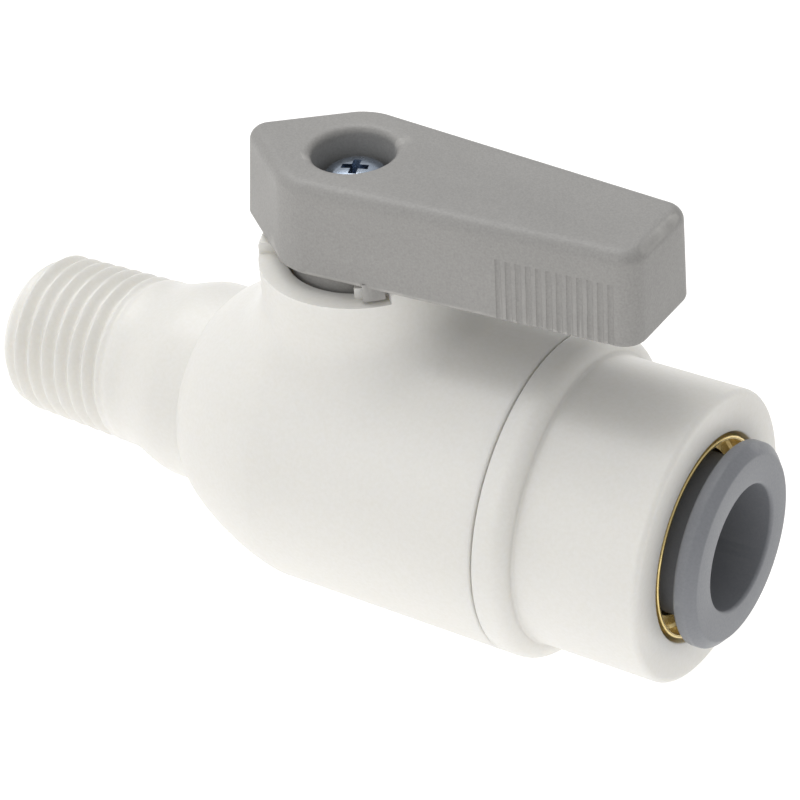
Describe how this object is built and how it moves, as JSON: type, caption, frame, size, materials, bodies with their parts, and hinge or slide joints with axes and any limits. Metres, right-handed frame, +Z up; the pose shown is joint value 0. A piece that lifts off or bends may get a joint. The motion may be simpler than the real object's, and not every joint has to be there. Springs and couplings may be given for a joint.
{
  "type": "ball valve",
  "caption": "Quarter-turn ball valve with a tapered male pipe thread, a push-in tube port with a release collet, and a turning lever held by a cross-head screw.",
  "frame": {"origin": "centre of the inlet thread's end face, on the flow axis", "axes": "+X along the flow axis from the thread to the tube port, +Z up along the stem, +Y to the left when looking along +X"},
  "size_m": [0.065, 0.0256, 0.0385],
  "materials": {
    "white_moulding": "satin off-white injection moulding, slightly translucent",
    "lever_plastic": "fine-grained warm grey moulding",
    "collet_plastic": "satin grey moulding",
    "dark_grey_plastic": "satin dark grey",
    "ball_plastic": "polished white",
    "natural_plastic": "waxy natural white",
    "black_rubber": "black nitrile",
    "zinc_plate": "bright zinc plate, faintly blue",
    "spring_steel": "bright stainless",
    "brass_liner": "bright brass"
  },
  "bodies": {
    "valve_case": {"valve_body": "white_moulding", "end_adapter": "white_moulding", "body_seal_o_ring": "black_rubber", "inlet_ball_seat": "natural_plastic", "outlet_ball_seat": "natural_plastic", "inlet_seat_o_ring": "black_rubber", "outlet_seat_o_ring": "black_rubber", "stem_thrust_washer": "natural_plastic", "tube_o_ring": "black_rubber", "tube_backup_ring": "natural_plastic", "grab_ring": "spring_steel", "retainer_sleeve": "brass_liner"},
    "turning_lever": {"lever": "lever_plastic", "lever_screw": "zinc_plate", "screw_washer": "zinc_plate", "stem": "dark_grey_plastic", "stem_o_ring_lower": "black_rubber", "stem_o_ring_upper": "black_rubber"},
    "turning_ball": {"ball": "ball_plastic"},
    "push_collet": {"release_collet": "collet_plastic"}
  },
  "joints": [
    {"name": "lever_turn", "type": "hinge", "parent": "valve_case", "child": "turning_lever", "pos_m": [0.0333, 0, 0.018], "axis": [0, 0, 1], "range_deg": [-90, 0]},
    {"name": "ball_turn", "type": "hinge", "parent": "valve_case", "child": "turning_ball", "pos_m": [0.0333, 0, 0], "axis": [0, 0, 1], "range_deg": [-90, 0]},
    {"name": "collet_press", "type": "slide", "parent": "valve_case", "child": "push_collet", "axis": [-1, 0, 0], "range_m": [0, 0.001], "stiffness_N_per_m": 300, "springref_m": -0.0005}
  ],
  "couplings": [
    {"joint": "ball_turn", "follows": "lever_turn", "ratio": 1}
  ]
}
